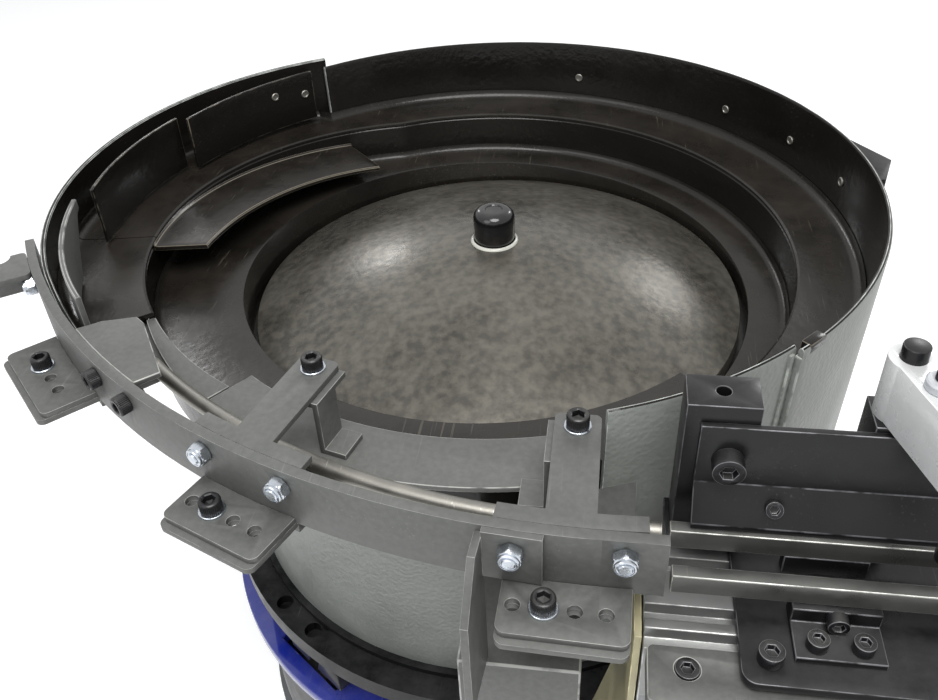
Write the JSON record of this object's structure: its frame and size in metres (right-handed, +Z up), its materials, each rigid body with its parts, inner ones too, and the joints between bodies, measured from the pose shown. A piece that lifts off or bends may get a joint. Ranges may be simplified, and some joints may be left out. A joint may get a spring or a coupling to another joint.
{
  "type": "vibratory bowl feeder",
  "caption": "Vibratory bowl feeder with a spiral-track bowl on a leaf-spring drive, rod discharge tooling, and a linear vibrating track with a swivelling sensor.",
  "frame": {"origin": "on the bowl's axis, at the underside of the mounting plate", "axes": "+Z up along the bowl's axis, +X along the discharge track"},
  "size_m": [0.6642, 0.526, 0.5],
  "materials": {
    "lining": "near-black glossy coat",
    "shell": "light grey-green hammered coat",
    "dome_grey": "matt mottled grey-brown",
    "steel": "satin",
    "black_gloss": "gloss",
    "tooling": "bead-blasted grey",
    "black_oxide": "black oxide",
    "rod_steel": "satin",
    "zinc": "bright zinc",
    "cast_grey": "machined casting",
    "plate_grey": "dark grey paint",
    "rubber": "matt",
    "blue": "glossy royal blue",
    "leaf": "fibre-glass laminate",
    "coil": "potted coil",
    "nylon": "matt",
    "aluminium": "natural anodised",
    "black_anodised": "black anodised"
  },
  "bodies": {
    "base": {"mount_plate": "plate_grey", "rubber_feet": "rubber", "drive_casting": "cast_grey", "drive_housing": "black_oxide", "drive_cover": "blue", "leaf_springs": "leaf", "lower_clamps": "tooling", "magnet_core": "steel", "magnet_coil": "coil", "cable_gland": "nylon", "track_stand": "plate_grey", "track_base": "cast_grey", "track_springs": "steel", "track_magnet": "coil"},
    "bowl": {"bowl_drum": "shell", "riser": "lining", "inner_track": "lining", "outer_track": "lining", "left_track": "lining", "outer_wall": "shell", "left_wall": "shell", "dome": "dome_grey", "centre_post": "steel", "centre_bolt": "steel", "centre_knob": "black_gloss", "steer_plates": "lining", "return_cover": "lining", "guide_plate": "tooling", "transfer_plate": "tooling", "return_shelf": "tooling", "rim_lug": "black_oxide", "guard_bar": "tooling", "rod_inner": "rod_steel", "rod_outer": "rod_steel", "hold_down": "tooling", "arms": "tooling", "arm_posts": "tooling", "guard_tabs": "tooling", "bowl_lugs": "tooling", "corner_bracket": "tooling", "bracket_box": "tooling", "hook_lever": "tooling", "bowl_screws": "black_oxide", "bowl_washers": "zinc", "lock_nuts": "zinc", "wall_screws": "rod_steel", "top_ring": "black_oxide", "upper_clamps": "black_oxide", "armature": "steel"},
    "track": {"track_head": "cast_grey", "track_profile": "aluminium", "track_plate": "black_anodised", "side_plate": "tooling", "rails": "rod_steel", "rail_blocks": "black_oxide", "back_angle": "black_anodised", "track_posts": "black_oxide", "track_screws": "black_oxide"},
    "sensor": {"sensor_arm": "aluminium", "sensor_head": "black_anodised"}
  },
  "joints": [
    {"name": "bowl_vibration", "type": "hinge", "parent": "base", "child": "bowl", "pos_m": [0, 0, 0.2], "axis": [0, 0, 1], "range_deg": [-0.2, 0.2], "stiffness_Nm_per_rad": 2400},
    {"name": "track_vibration", "type": "slide", "parent": "base", "child": "track", "axis": [1, 0, 0], "range_m": [-0.0005, 0.0005], "stiffness_N_per_m": 20000},
    {"name": "sensor_swivel", "type": "hinge", "parent": "track", "child": "sensor", "pos_m": [0.183, -0.2143, 0.4727], "axis": [0, 0, 1], "range_deg": [-10, 20]}
  ]
}
